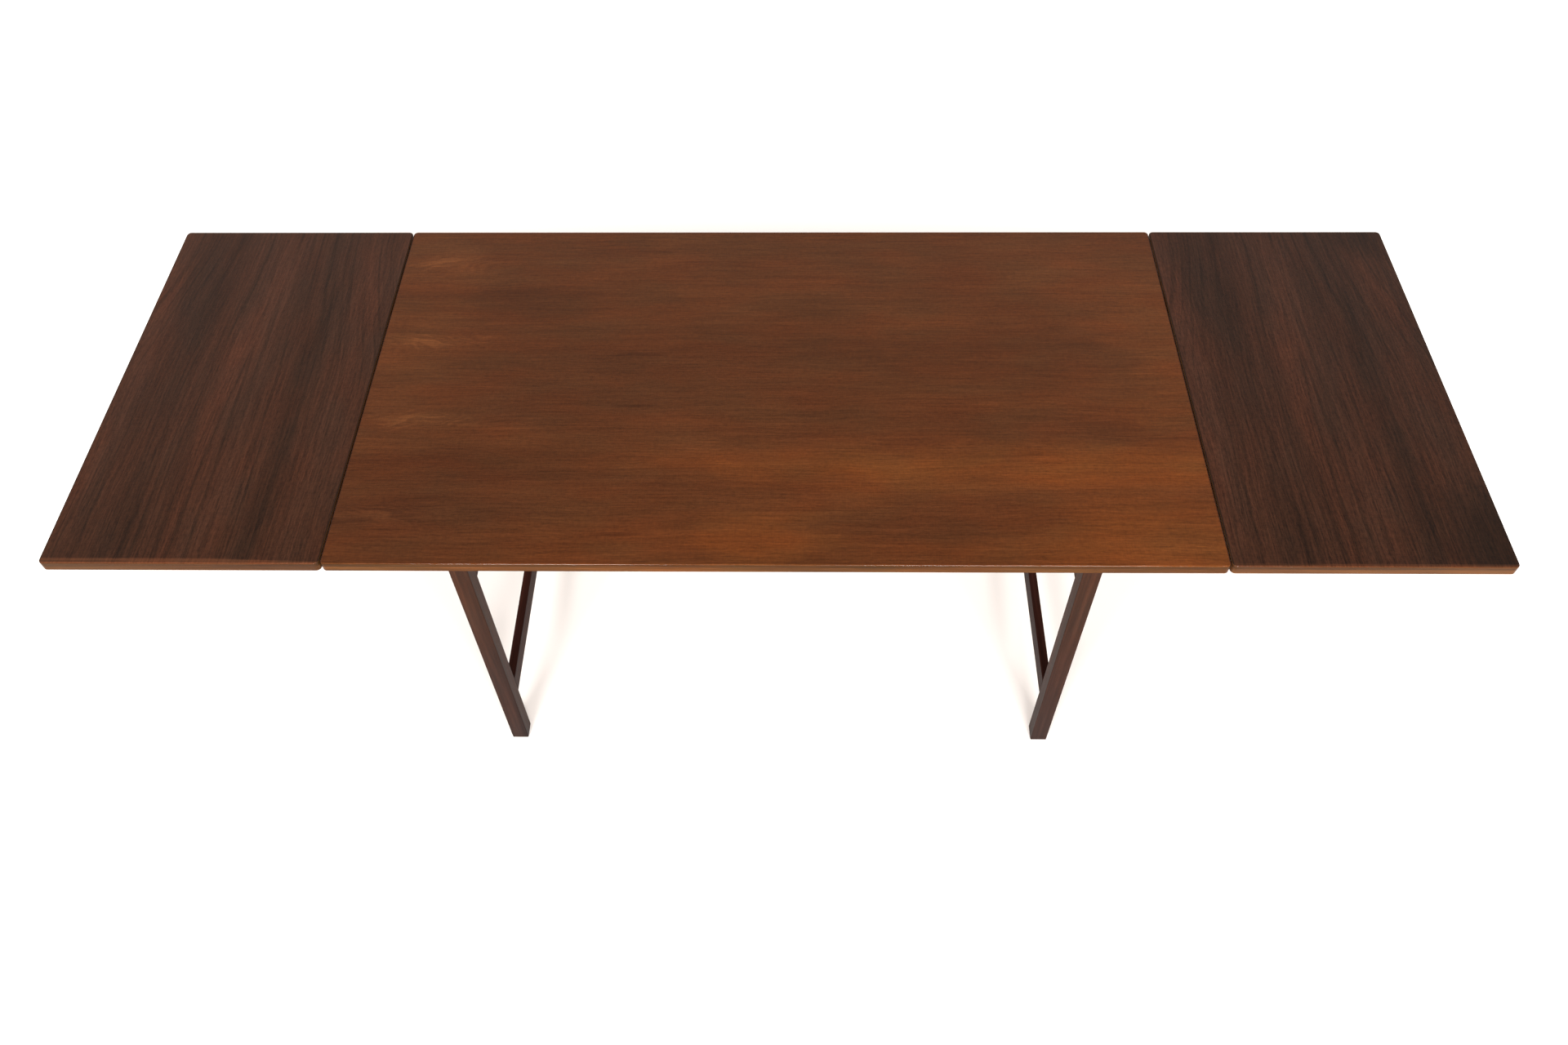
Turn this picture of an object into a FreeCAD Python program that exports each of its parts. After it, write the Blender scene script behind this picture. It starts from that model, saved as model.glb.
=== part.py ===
import FreeCAD, Part
import os

# Extending dining table: a veneered main top on a four-legged base, and two end leaves.
# Each leaf is carried by two long arms that slide in tracks under the main top.
# Millimetres: X along the table, Y across it with the front at -Y, Z up, and the origin
# on the floor under the middle.

# Main top and leaves
table_height = 730.0
top_length = 1600.0
top_width = 890.0
board_thickness = 22.0
leaf_length = 498.0
joint_gap = 2.0
corner_radius = 9.0
upper_arris_radius = 2.5
lower_arris_chamfer = 1.5
veneer_thickness = 0.8
lipping_width = 8.0

# Legs
leg_size = 35.0
leg_end_inset = 204.0
leg_side_inset = 40.0
leg_edge_radius = 2.0
foot_chamfer = 2.5

# Rails and stretchers
end_rail_depth = 122.0
end_rail_thickness = 20.0
long_rail_depth = 60.0
long_rail_thickness = 20.0
stretcher_depth = 48.0
stretcher_thickness = 18.0
stretcher_floor_gap = 155.0
rail_edge_radius = 1.5

# Mortise and tenon joints
tenon_length = 25.0
rail_tenon_thickness = 10.0
stretcher_tenon_thickness = 8.0
tenon_shoulder = 8.0
haunch_drop = 18.0
haunch_length = 5.0
tenon_separation = 6.0
glue_fit = 0.1
mortise_end_gap = 1.0

# Corner blocks and centre batten
corner_block_leg = 60.0
corner_block_height = 50.0
batten_width = 50.0
batten_height = 20.0
batten_housing = 6.0

# Leaf arms
arm_width = 24.0
arm_height = 32.0
arm_rail_gap = 127.5
arm_tail_gap = 35.0
arm_end_setback = 118.0
arm_seat_setback = 20.0
arm_top_relief = 0.5
arm_bevel_length = 45.0
arm_end_height = 12.0
arm_tail_chamfer = 6.0
arm_edge_radius = 1.5

# Arm tracks
slide_travel = 300.0
side_clearance = 0.4
drop_clearance = 0.3
track_wall = 14.0
track_lip = 8.0
track_chamfer = 3.0

# Pegs
stop_peg_radius = 4.0
stop_peg_drop = 12.0
stop_peg_depth = 18.0
stop_peg_side_room = 2.0
stop_clearance = 0.3
leaf_peg_radius = 4.0
leaf_peg_reach = 12.0
leaf_peg_depth = 20.0
leaf_peg_edge_margin = 155.0
leaf_peg_clearance = 0.3
peg_chamfer = 1.2

# Buttons that hold the main top to the rails
button_width = 30.0
button_length = 34.0
button_height = 18.0
button_tongue_length = 7.0
button_tongue_height = 7.0
button_slot_room = 1.5
button_leg_margin = 271.0

# One overrun serves every cut
overrun = 1.0

# An edge nearer than this to a plane lies in it
same_plane = glue_fit / 2

half_top = top_length / 2
half_width = top_width / 2
underside = table_height - board_thickness
leaf_inner = half_top + joint_gap
leaf_outer = leaf_inner + leaf_length
board_middle = table_height - board_thickness / 2

leg_outer_x = half_top - leg_end_inset
leg_inner_x = leg_outer_x - leg_size
leg_outer_y = half_width - leg_side_inset
leg_inner_y = leg_outer_y - leg_size
leg_middle_y = leg_outer_y - leg_size / 2
long_rail_inner_y = leg_middle_y - long_rail_thickness / 2

arm_middle_y = long_rail_inner_y - arm_rail_gap
arm_bottom = underside - arm_height
arm_tail = batten_width / 2 + arm_tail_gap
arm_seat = leaf_inner + arm_seat_setback
arm_end = leaf_outer - arm_end_setback
arm_side = arm_width / 2 + side_clearance
arm_floor = arm_bottom - drop_clearance
stop_peg_x = leg_inner_x - slide_travel - stop_clearance - stop_peg_radius

button_bottom = underside - button_height
batten_bottom = underside - batten_height

sides = {"left": -1, "right": 1}
rows = {"front": -1, "back": 1}
leaf_peg_y = half_width - leaf_peg_edge_margin
leaf_peg_rows = (-leaf_peg_y, leaf_peg_y)


def around(middle, half):
    return (middle - half, middle + half)


def block(x_pair, y_pair, z_pair):
    """Box between two planes on each axis, whichever order a pair is in."""
    x_low, x_high = sorted(x_pair)
    y_low, y_high = sorted(y_pair)
    z_low, z_high = sorted(z_pair)
    corner = FreeCAD.Vector(x_low, y_low, z_low)
    return Part.makeBox(x_high - x_low, y_high - y_low, z_high - z_low, corner)


def prism(points, sweep):
    """Solid made by moving the closed outline through points along sweep."""
    outline = Part.makePolygon(points + points[:1])
    return Part.Face(outline).extrude(sweep)


def edges_along(solid, axis):
    """Straight edges of a box-like solid that run along the named axis."""
    others = [name for name in ("XLength", "YLength", "ZLength") if name[0] != axis]
    straight = [edge for edge in solid.Edges if isinstance(edge.Curve, Part.Line)]
    return [edge for edge in straight if all(getattr(edge.BoundBox, name) < same_plane for name in others)]


def edges_at(solid, height, axis=""):
    """Edges in the level plane at a height, or only those of them that run along an axis."""
    edges = edges_along(solid, axis) if axis else solid.Edges
    return [edge for edge in edges
            if abs(edge.BoundBox.ZMin - height) < same_plane and abs(edge.BoundBox.ZMax - height) < same_plane]


def cut_all(solid, tools):
    for tool in tools:
        solid = solid.cut(tool)
    return solid


def single(shape):
    """The one solid that a boolean result holds."""
    return shape.removeSplitter().Solids[0]


# Boards: core, lippings and veneers


def rounded_board(x_low, x_high):
    """A whole board with its plan corners and both arrises rounded."""
    board = block((x_low, x_high), (-half_width, half_width), (underside, table_height))
    board = board.makeFillet(corner_radius, edges_along(board, "Z"))
    board = board.makeFillet(upper_arris_radius, edges_at(board, table_height))
    return board.makeChamfer(lower_arris_chamfer, edges_at(board, underside))


def mitre_region(x_pair, side, band):
    """Wedge of plan area, mitred at 45 degrees, that holds the lipping on one side of a board."""
    x_low, x_high = x_pair
    corners = {
        "left": ((x_low, -half_width), (x_low, half_width), (x_low + band, half_width - band),
                 (x_low + band, -half_width + band)),
        "right": ((x_high, -half_width), (x_high, half_width), (x_high - band, half_width - band),
                  (x_high - band, -half_width + band)),
        "front": ((x_low, -half_width), (x_high, -half_width), (x_high - band, -half_width + band),
                  (x_low + band, -half_width + band)),
        "back": ((x_low, half_width), (x_high, half_width), (x_high - band, half_width - band),
                 (x_low + band, half_width - band)),
    }[side]
    points = [FreeCAD.Vector(x, y, underside) for x, y in corners]
    return prism(points, FreeCAD.Vector(0, 0, board_thickness))


def board_pieces(x_low, x_high):
    """Core, two veneers and four mitred lippings of one board, cut from its rounded outline."""
    whole = rounded_board(x_low, x_high)
    reach = (x_low, x_high)
    width = (-half_width, half_width)
    core_low = underside + veneer_thickness
    core_high = table_height - veneer_thickness
    middle = whole.common(block(reach, width, (core_low, core_high)))
    core = block((x_low + lipping_width, x_high - lipping_width),
                 (-half_width + lipping_width, half_width - lipping_width), (core_low, core_high))
    ring = middle.cut(core)
    pieces = {
        "core": core,
        "face_veneer": single(whole.common(block(reach, width, (core_high, table_height)))),
        "backing_veneer": single(whole.common(block(reach, width, (underside, core_low)))),
    }
    for side in ("front", "back", "left", "right"):
        wedge = mitre_region(reach, side, lipping_width)
        pieces["lipping_" + side] = single(ring.common(wedge))
    return pieces


# Pegs, each with the hole that it fills


def level_pegs(x_sign, from_x, to_x, radius):
    """Cylinders of one radius along X at the leaf pegs' places."""
    start = x_sign * from_x
    along = FreeCAD.Vector(x_sign * (to_x - from_x), 0, 0)
    return [Part.makeCylinder(radius, along.Length, FreeCAD.Vector(start, y, board_middle), along)
            for y in leaf_peg_rows]


def leaf_pegs(x_sign):
    """Pegs glued in a leaf's inner edge, chamfered where they enter the main top."""
    tip = leaf_inner - leaf_peg_reach
    pegs = level_pegs(x_sign, tip, leaf_inner + leaf_peg_depth, leaf_peg_radius)
    rims = [min(peg.Edges, key=lambda edge: abs(edge.CenterOfMass.x)) for peg in pegs]
    return Part.makeCompound([peg.makeChamfer(peg_chamfer, [rim]) for peg, rim in zip(pegs, rims)])


def leaf_peg_seats(x_sign):
    """Glued holes for the pegs in the leaf."""
    bottom = leaf_inner + leaf_peg_depth + mortise_end_gap
    return level_pegs(x_sign, leaf_inner - overrun, bottom, leaf_peg_radius + glue_fit)


def leaf_peg_sockets(x_sign):
    """Running holes in the main top's end, which the pegs leave as the leaf is drawn out."""
    bottom = leaf_inner - leaf_peg_reach - mortise_end_gap
    return level_pegs(x_sign, half_top + overrun, bottom, leaf_peg_radius + leaf_peg_clearance)


# Tenons, each with the mortise that it fills


def tenon_heights(bottom, top, fit):
    return (bottom + tenon_shoulder - fit, top + fit)


def long_rail_tenon(x_sign, y_sign, fit=0.0, end_gap=0.0):
    """Tenon of a long rail into one leg; with a fit and an end gap, its mortise."""
    along = (x_sign * (leg_inner_x - overrun), x_sign * (leg_inner_x + tenon_length + end_gap))
    across = around(y_sign * leg_middle_y, rail_tenon_thickness / 2 + fit)
    heights = tenon_heights(underside - long_rail_depth, underside - haunch_drop, fit)
    return block(along, across, heights)


def end_rail_tenon(x_sign, y_sign, fit=0.0, end_gap=0.0):
    """Tenon of an end rail, which passes under the long rail's tenon and has a haunch above."""
    across = around(x_sign * (leg_inner_x + end_rail_thickness / 2), rail_tenon_thickness / 2 + fit)
    split = underside - long_rail_depth + tenon_shoulder - tenon_separation
    root = y_sign * (leg_inner_y - overrun)
    tip = y_sign * (leg_inner_y + tenon_length + end_gap)
    haunch_tip = y_sign * (leg_inner_y + haunch_length + fit)
    tenon = block(across, (root, tip), tenon_heights(underside - end_rail_depth, split, fit))
    haunch = block(across, (root, haunch_tip), (split - overrun, underside - haunch_drop + fit))
    return single(tenon.fuse(haunch))


def stretcher_tenon(x_sign, y_sign, fit=0.0, end_gap=0.0):
    """Tenon of a stretcher into one leg; with a fit and an end gap, its mortise."""
    middle = x_sign * (leg_inner_x + stretcher_thickness / 2)
    across = around(middle, stretcher_tenon_thickness / 2 + fit)
    along = (y_sign * (leg_inner_y - overrun), y_sign * (leg_inner_y + tenon_length + end_gap))
    top = stretcher_floor_gap + stretcher_depth - tenon_shoulder
    return block(across, along, tenon_heights(stretcher_floor_gap, top, fit))


# Base


def leg(x_sign, y_sign):
    """Square leg with eased edges, a chamfered foot and three mortises."""
    post = block((x_sign * leg_inner_x, x_sign * leg_outer_x), (y_sign * leg_inner_y, y_sign * leg_outer_y),
                 (0, underside))
    post = post.makeChamfer(foot_chamfer, edges_at(post, 0))
    post = post.makeFillet(leg_edge_radius, edges_along(post, "Z"))
    mortises = [tenon(x_sign, y_sign, glue_fit, mortise_end_gap)
                for tenon in (long_rail_tenon, end_rail_tenon, stretcher_tenon)]
    return single(cut_all(post, mortises))


def arm_notch(x_sign, y_sign):
    """Notch in an end rail's upper edge that a leaf arm slides through."""
    along = (x_sign * (leg_inner_x - overrun), x_sign * (leg_inner_x + end_rail_thickness + overrun))
    return block(along, around(y_sign * arm_middle_y, arm_side), (arm_floor, underside + overrun))


def end_rail(x_sign):
    """Deep rail between two legs, notched for the arms and slotted for a button."""
    rail = block((x_sign * leg_inner_x, x_sign * (leg_inner_x + end_rail_thickness)),
                 (-leg_inner_y, leg_inner_y), (underside - end_rail_depth, underside))
    rail = rail.makeFillet(rail_edge_radius, edges_at(rail, underside - end_rail_depth, "Y"))
    for y_sign in rows.values():
        rail = rail.fuse(end_rail_tenon(x_sign, y_sign))
        rail = rail.cut(arm_notch(x_sign, y_sign))
    return single(rail.cut(end_button(x_sign, glue_fit, button_slot_room)))


def batten_body(fit=0.0):
    """Centre batten, whose ends are let into the long rails; with a fit, its housings."""
    reach = long_rail_inner_y + batten_housing + fit
    return block(around(0, batten_width / 2 + fit), (-reach, reach), (batten_bottom - fit, underside + fit))


def long_rail(y_sign):
    """Shallow rail along the table, housed for the batten and slotted for its buttons."""
    rail = block((-leg_inner_x, leg_inner_x), around(y_sign * leg_middle_y, long_rail_thickness / 2),
                 (underside - long_rail_depth, underside))
    rail = rail.makeFillet(rail_edge_radius, edges_at(rail, underside - long_rail_depth, "X"))
    for x_sign in sides.values():
        rail = rail.fuse(long_rail_tenon(x_sign, y_sign))
        rail = rail.cut(long_button(x_sign, y_sign, glue_fit, button_slot_room))
    return single(rail.cut(batten_body(glue_fit)))


def stretcher(x_sign):
    """Low stretcher between two legs, flush with their inner faces."""
    bar = block((x_sign * leg_inner_x, x_sign * (leg_inner_x + stretcher_thickness)),
                (-leg_inner_y, leg_inner_y), (stretcher_floor_gap, stretcher_floor_gap + stretcher_depth))
    bar = bar.makeFillet(rail_edge_radius, edges_along(bar, "Y"))
    for y_sign in rows.values():
        bar = bar.fuse(stretcher_tenon(x_sign, y_sign))
    return single(bar)


def corner_block(x_sign, y_sign):
    """Three-cornered block glued between an end rail and a long rail."""
    plan = ((leg_inner_x, long_rail_inner_y), (leg_inner_x - corner_block_leg, long_rail_inner_y),
            (leg_inner_x, long_rail_inner_y - corner_block_leg))
    points = [FreeCAD.Vector(x_sign * x, y_sign * y, underside - corner_block_height) for x, y in plan]
    return prism(points, FreeCAD.Vector(0, 0, corner_block_height))


# Buttons


def button_form(fit=0.0, room=0.0):
    """Button along X with its rail's face at X zero; with a fit and room, the slot for its tongue."""
    body = block((-button_length, 0), around(0, button_width / 2), (button_bottom, underside))
    tongue = block((-overrun, button_tongue_length + fit), around(0, button_width / 2 + room),
                   (button_bottom - fit, button_bottom + button_tongue_height + fit))
    return tongue if fit else single(body.fuse(tongue))


def placed(shape, turn, x, y):
    """Copy of a shape turned about Z by whole degrees, then moved in plan."""
    moved = shape.copy()
    moved.rotate(FreeCAD.Vector(0, 0, 0), FreeCAD.Vector(0, 0, 1), turn)
    moved.translate(FreeCAD.Vector(x, y, 0))
    return moved


def end_button(x_sign, fit=0.0, room=0.0):
    """Button on the middle of an end rail; with a fit and room, its slot."""
    turn = 0 if x_sign > 0 else 180
    return placed(button_form(fit, room), turn, x_sign * leg_inner_x, 0)


def long_button(x_sign, y_sign, fit=0.0, room=0.0):
    """Button on a long rail; with a fit and room, its slot."""
    along = x_sign * (leg_inner_x - button_leg_margin)
    return placed(button_form(fit, room), 90 * y_sign, along, y_sign * long_rail_inner_y)


def top_buttons():
    """Wooden buttons, screwed to the main top, whose tongues hold it to the rails."""
    buttons = [end_button(x_sign) for x_sign in sides.values()]
    buttons += [long_button(x_sign, y_sign) for x_sign in sides.values() for y_sign in rows.values()]
    return Part.makeCompound(buttons)


# Leaf arms and their tracks


def stop_peg(x_sign, y_sign, fit=0.0, end_gap=0.0):
    """Peg that hangs from an arm and meets the end rail when the leaf is fully drawn out."""
    foot = FreeCAD.Vector(x_sign * stop_peg_x, y_sign * arm_middle_y, arm_bottom - stop_peg_drop)
    return Part.makeCylinder(stop_peg_radius + fit, stop_peg_drop + stop_peg_depth + end_gap, foot)


def leaf_arm(x_sign, y_sign):
    """Arm with a raised seat under the leaf, a relieved sliding part and a bevelled end."""
    outline = ((arm_tail, underside - arm_top_relief), (arm_seat, underside - arm_top_relief),
               (arm_seat, underside), (arm_end, underside), (arm_end, underside - arm_end_height),
               (arm_end - arm_bevel_length, arm_bottom), (arm_tail + arm_tail_chamfer, arm_bottom),
               (arm_tail, arm_bottom + arm_tail_chamfer))
    near = y_sign * arm_middle_y - arm_width / 2
    points = [FreeCAD.Vector(x_sign * x, near, z) for x, z in outline]
    arm = prism(points, FreeCAD.Vector(0, arm_width, 0))
    arm = arm.makeFillet(arm_edge_radius, edges_at(arm, arm_bottom, "X"))
    return single(arm.cut(stop_peg(x_sign, y_sign, glue_fit, mortise_end_gap)))


def track(x_sign, y_sign, wall_sign):
    """One of the two rebated cleats beside an arm: its wall guides the arm and its lip carries it."""
    slot = stop_peg_radius + stop_peg_side_room
    wall = arm_side + track_wall
    lip_bottom = arm_floor - track_lip
    outline = ((arm_side, underside), (wall, underside), (wall, lip_bottom + track_chamfer),
               (wall - track_chamfer, lip_bottom), (slot, lip_bottom), (slot, arm_floor),
               (arm_side, arm_floor))
    middle = y_sign * arm_middle_y
    start = x_sign * batten_width / 2
    points = [FreeCAD.Vector(start, middle + wall_sign * y, z) for y, z in outline]
    return prism(points, FreeCAD.Vector(x_sign * leg_inner_x - start, 0, 0))


# Whole table


def main_top():
    pieces = board_pieces(-half_top, half_top)
    pieces["core"] = single(cut_all(pieces["core"], leaf_peg_sockets(-1) + leaf_peg_sockets(1)))
    for side, x_sign in sides.items():
        name = "lipping_" + side
        pieces[name] = single(cut_all(pieces[name], leaf_peg_sockets(x_sign)))
    return {"main_top_" + name: piece for name, piece in pieces.items()}


def leaf(side, x_sign):
    """Board, arms and pegs of one leaf."""
    pieces = board_pieces(*sorted((x_sign * leaf_inner, x_sign * leaf_outer)))
    inner, outer = ("left", "right") if x_sign > 0 else ("right", "left")
    pieces["lipping_inner"] = pieces.pop("lipping_" + inner)
    pieces["lipping_outer"] = pieces.pop("lipping_" + outer)
    for name in ("core", "lipping_inner"):
        pieces[name] = single(cut_all(pieces[name], leaf_peg_seats(x_sign)))
    for row, y_sign in rows.items():
        pieces["arm_" + row] = leaf_arm(x_sign, y_sign)
    pieces["pegs"] = leaf_pegs(x_sign)
    pieces["stop_pegs"] = Part.makeCompound([stop_peg(x_sign, y_sign) for y_sign in rows.values()])
    return {side + "_leaf_" + name: piece for name, piece in pieces.items()}


def base():
    """Everything under the main top that stays still."""
    pieces = {"centre_batten": batten_body(), "top_buttons": top_buttons()}
    for side, x_sign in sides.items():
        pieces["end_rail_" + side] = end_rail(x_sign)
        pieces["stretcher_" + side] = stretcher(x_sign)
        for row, y_sign in rows.items():
            corner = row + "_" + side
            pieces["leg_" + corner] = leg(x_sign, y_sign)
            pieces["corner_block_" + corner] = corner_block(x_sign, y_sign)
            pieces["track_" + corner + "_near"] = track(x_sign, y_sign, -y_sign)
            pieces["track_" + corner + "_far"] = track(x_sign, y_sign, y_sign)
    for row, y_sign in rows.items():
        pieces["long_rail_" + row] = long_rail(y_sign)
    return pieces


def main():
    os.makedirs("parts", exist_ok=True)
    parts = {**main_top(), **base()}
    for side, x_sign in sides.items():
        parts.update(leaf(side, x_sign))
    for name, shape in parts.items():
        shape.exportStep("parts/" + name + ".step")
    print(len(parts), "parts")


main()
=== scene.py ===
import math
import random

import bmesh
import bpy
from mathutils import Matrix, Vector


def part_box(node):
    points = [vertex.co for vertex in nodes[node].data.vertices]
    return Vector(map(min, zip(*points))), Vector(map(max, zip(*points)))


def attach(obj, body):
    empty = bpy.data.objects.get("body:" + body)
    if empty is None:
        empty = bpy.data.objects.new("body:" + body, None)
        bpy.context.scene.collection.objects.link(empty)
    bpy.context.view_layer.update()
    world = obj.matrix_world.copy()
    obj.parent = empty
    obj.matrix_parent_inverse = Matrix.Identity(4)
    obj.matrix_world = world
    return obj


# Looks of an extending dining table: wood finishes, screw heads, floor, lights and camera.
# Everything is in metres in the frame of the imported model: X along the table, the front at -Y.

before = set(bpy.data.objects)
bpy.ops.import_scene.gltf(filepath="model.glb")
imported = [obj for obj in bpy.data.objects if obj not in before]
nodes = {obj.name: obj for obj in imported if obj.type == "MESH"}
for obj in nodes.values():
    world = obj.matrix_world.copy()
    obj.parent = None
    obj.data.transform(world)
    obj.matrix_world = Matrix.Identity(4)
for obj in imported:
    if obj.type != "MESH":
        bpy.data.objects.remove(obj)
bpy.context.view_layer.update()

# Camera, as fitted to the edges of the boards, legs and stretchers in the photograph
photo_width_pixels = 1920
focal_pixels = 1523.6
camera_place = Vector((0.0488, -1.7002, 2.5113))
camera_pitch = math.radians(52.85)
camera_yaw = math.radians(-1.309)
camera_roll = math.radians(0.894)

# Corners of the face veneers, which their figure is laid out from
main_low, main_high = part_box("main_top_face_veneer")
left_low, left_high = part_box("left_leaf_face_veneer")
right_low, right_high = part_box("right_leaf_face_veneer")


# Node helpers


def add(tree, kind, inputs=None, **properties):
    """New node with its properties set, and its inputs set to values or joined to outputs."""
    node = tree.nodes.new(kind)
    for name, value in properties.items():
        setattr(node, name, value)
    for name, value in (inputs or {}).items():
        if isinstance(value, bpy.types.NodeSocket):
            tree.links.new(value, node.inputs[name])
        else:
            node.inputs[name].default_value = value
    return node


def calc(tree, operation, first, second=0.0, third=0.0):
    """Output of one math node."""
    return add(tree, "ShaderNodeMath", {0: first, 1: second, 2: third}, operation=operation).outputs[0]


def scaled_sum(tree, start, *terms):
    """Output of start plus each term, an output centred on a half, times its strength."""
    total = start
    for output, strength in terms:
        centred = calc(tree, "SUBTRACT", output, 0.5)
        total = calc(tree, "MULTIPLY_ADD", centred, strength, total)
    return total


def outside(tree, output, mask):
    """Output where a mask is 0, falling to nothing where it is 1."""
    return calc(tree, "MULTIPLY", output, calc(tree, "SUBTRACT", 1.0, mask))


def distance(tree, first, second):
    """Length of a flat vector."""
    squares = [calc(tree, "MULTIPLY", part, part) for part in (first, second)]
    return calc(tree, "SQRT", calc(tree, "ADD", *squares))


def step_between(tree, value, low, high):
    """Smooth step of a value, from 0 at low to 1 at high."""
    inputs = {"Value": value, "From Min": low, "From Max": high, "To Min": 0.0, "To Max": 1.0}
    return add(tree, "ShaderNodeMapRange", inputs, interpolation_type="SMOOTHSTEP").outputs[0]


def ramp(tree, factor, stops):
    """Colour ramp output over a factor, with stops as pairs of position and colour."""
    node = add(tree, "ShaderNodeValToRGB", {"Fac": factor})
    elements = node.color_ramp.elements
    while len(elements) < len(stops):
        elements.new(0.5)
    for element, (position, colour) in zip(elements, stops):
        element.position = position
        element.color = (*colour, 1.0)
    return node.outputs["Color"]


def product(tree, colour, hue):
    """Colour multiplied by a hue, channel by channel."""
    return add(tree, "ShaderNodeVectorMath", {0: colour, 1: hue}, operation="MULTIPLY").outputs[0]


def object_place(tree):
    """X, Y and Z outputs of the place on the piece."""
    place = add(tree, "ShaderNodeTexCoord").outputs["Object"]
    return add(tree, "ShaderNodeSeparateXYZ", {0: place}).outputs


def new_material(name):
    material = bpy.data.materials.new(name)
    material.use_nodes = True
    material.node_tree.nodes.clear()
    return material


# Wood

# Layers of noise: length along the grain, width across it, detail and seed
grain_layer = (0.14, 0.0045, 3.0, 0.0)
fibre_layer = (0.040, 0.0014, 2.0, 3.1)
pore_layer = (0.014, 0.0007, 1.0, 7.7)
band_layer = (0.60, 0.014, 2.0, 11.3)
tint_layer = (0.16, 0.06, 2.0, 5.0)

pore_steps = (0.58, 0.72)
tints = ((0.35, (1.0, 0.93, 0.86)), (0.65, (0.90, 0.97, 1.0)))
patch_plateau = 0.75
wood_ior = 1.45
relief_strengths = (0.3, 0.5)
pore_depth = -0.7


def grain_axes(tree, along):
    """Three coordinates of a piece: along its grain, across it, and through its thickness."""
    place = object_place(tree)
    return [place[name] for name in {"X": "XYZ", "Y": "YXZ", "Z": "ZXY"}[along]]


def streaks(tree, axes, layer, seed=0.0):
    """Noise of a layer, drawn out along the grain."""
    length, width, detail, layer_seed = layer
    inputs = {0: calc(tree, "MULTIPLY", axes[0], 1 / length),
              1: calc(tree, "MULTIPLY", axes[1], 1 / width),
              2: calc(tree, "MULTIPLY_ADD", axes[2], 1 / width, seed + layer_seed)}
    vector = add(tree, "ShaderNodeCombineXYZ", inputs).outputs[0]
    noise = add(tree, "ShaderNodeTexNoise", {"Vector": vector, "Scale": 1.0, "Detail": detail})
    return noise.outputs["Fac"]


def add_patches(tree, tone, axes, patches):
    """Tone with soft spots added, each given by its place, its half sizes and its strength."""
    for place, size, strength in patches:
        parts = [calc(tree, "MULTIPLY_ADD", axis, 1 / half, -middle / half)
                 for axis, middle, half in zip(axes, place, size)]
        vector = add(tree, "ShaderNodeCombineXYZ", {0: parts[0], 1: parts[1]}).outputs[0]
        spot = add(tree, "ShaderNodeTexGradient", {0: vector}, gradient_type="SPHERICAL").outputs["Fac"]
        tone = calc(tree, "MULTIPLY_ADD", step_between(tree, spot, 0.0, patch_plateau), strength, tone)
    return tone


def tone_ramp(tree, tone, middle, spread_by):
    """Colour that grows or falls evenly with tone on each channel, about its value at a half."""
    stops = []
    for position in (0.0, 0.25, 0.5, 0.75, 1.0):
        colour = [value * math.exp(slope * (position - 0.5)) for value, slope in zip(middle, spread_by)]
        stops.append((position, colour))
    return ramp(tree, tone, stops)


def tinted(tree, colour, axes, seed):
    """Colour with slow drifts between a redder and a greyer hue."""
    return product(tree, colour, ramp(tree, streaks(tree, axes, tint_layer, seed), tints))


def finish_wood(material, colour, roughness, height, depth, specular):
    """Joins a wood's colour, roughness and relief to its shader and output."""
    tree = material.node_tree
    bump = add(tree, "ShaderNodeBump", {"Height": height, "Distance": depth, "Strength": 1.0})
    inputs = {"Base Color": colour, "Roughness": roughness, "Normal": bump.outputs[0],
              "IOR": wood_ior, "Specular IOR Level": specular}
    shader = add(tree, "ShaderNodeBsdfPrincipled", inputs)
    add(tree, "ShaderNodeOutputMaterial", {"Surface": shader.outputs[0]})
    return material


def fine_layers(tree, axes, seed):
    """Fine grain that every wood here shares: streaks, fibres and open pores."""
    grain = streaks(tree, axes, grain_layer, seed)
    fibre = streaks(tree, axes, fibre_layer, seed)
    pores = step_between(tree, streaks(tree, axes, pore_layer, seed), *pore_steps)
    return grain, fibre, pores


def wood_relief(tree, grain, fibre, pores):
    """Height of the surface, with the pores sunk into it."""
    relief = scaled_sum(tree, 0.5, *zip((grain, fibre), relief_strengths))
    return calc(tree, "MULTIPLY_ADD", pores, pore_depth, relief)


# Solid woods

plain_strengths = (1.0, 0.6, 0.3)
plain_pore_tone = -0.14
plain_shine = (0.16, 0.10)
# Heights between which a lipping takes the tone of its top edge, and then its polished arris
lipping_fade = (0.7205, 0.7235)
lipping_calm = (0.7255, 0.7272)
leg_height = 0.70


def plain_wood(name, along, seed, middle, spread_by, roughness, specular, depth, top_tone=0.0, hues=()):
    """Straight-grained wood, where lippings have a tone for their top edge, and legs hues by height."""
    material = new_material(name)
    tree = material.node_tree
    axes = grain_axes(tree, along)
    bands = streaks(tree, axes, band_layer, seed)
    grain, fibre, pores = fine_layers(tree, axes, seed)
    tone = scaled_sum(tree, 0.5, *zip((bands, grain, fibre), plain_strengths))
    tone = calc(tree, "MULTIPLY_ADD", pores, plain_pore_tone, tone)
    relief = wood_relief(tree, grain, fibre, pores)
    if top_tone:
        tone = calc(tree, "MULTIPLY_ADD", step_between(tree, axes[2], *lipping_fade), top_tone, tone)
        relief = outside(tree, relief, step_between(tree, axes[2], *lipping_calm))
    colour = tinted(tree, tone_ramp(tree, tone, middle, spread_by), axes, seed)
    if hues:
        colour = product(tree, colour, ramp(tree, calc(tree, "DIVIDE", axes[0], leg_height), hues))
    shine = scaled_sum(tree, roughness, *zip((grain, fibre), plain_shine))
    return finish_wood(material, colour, shine, relief, depth, specular)


# Face veneers

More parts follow.
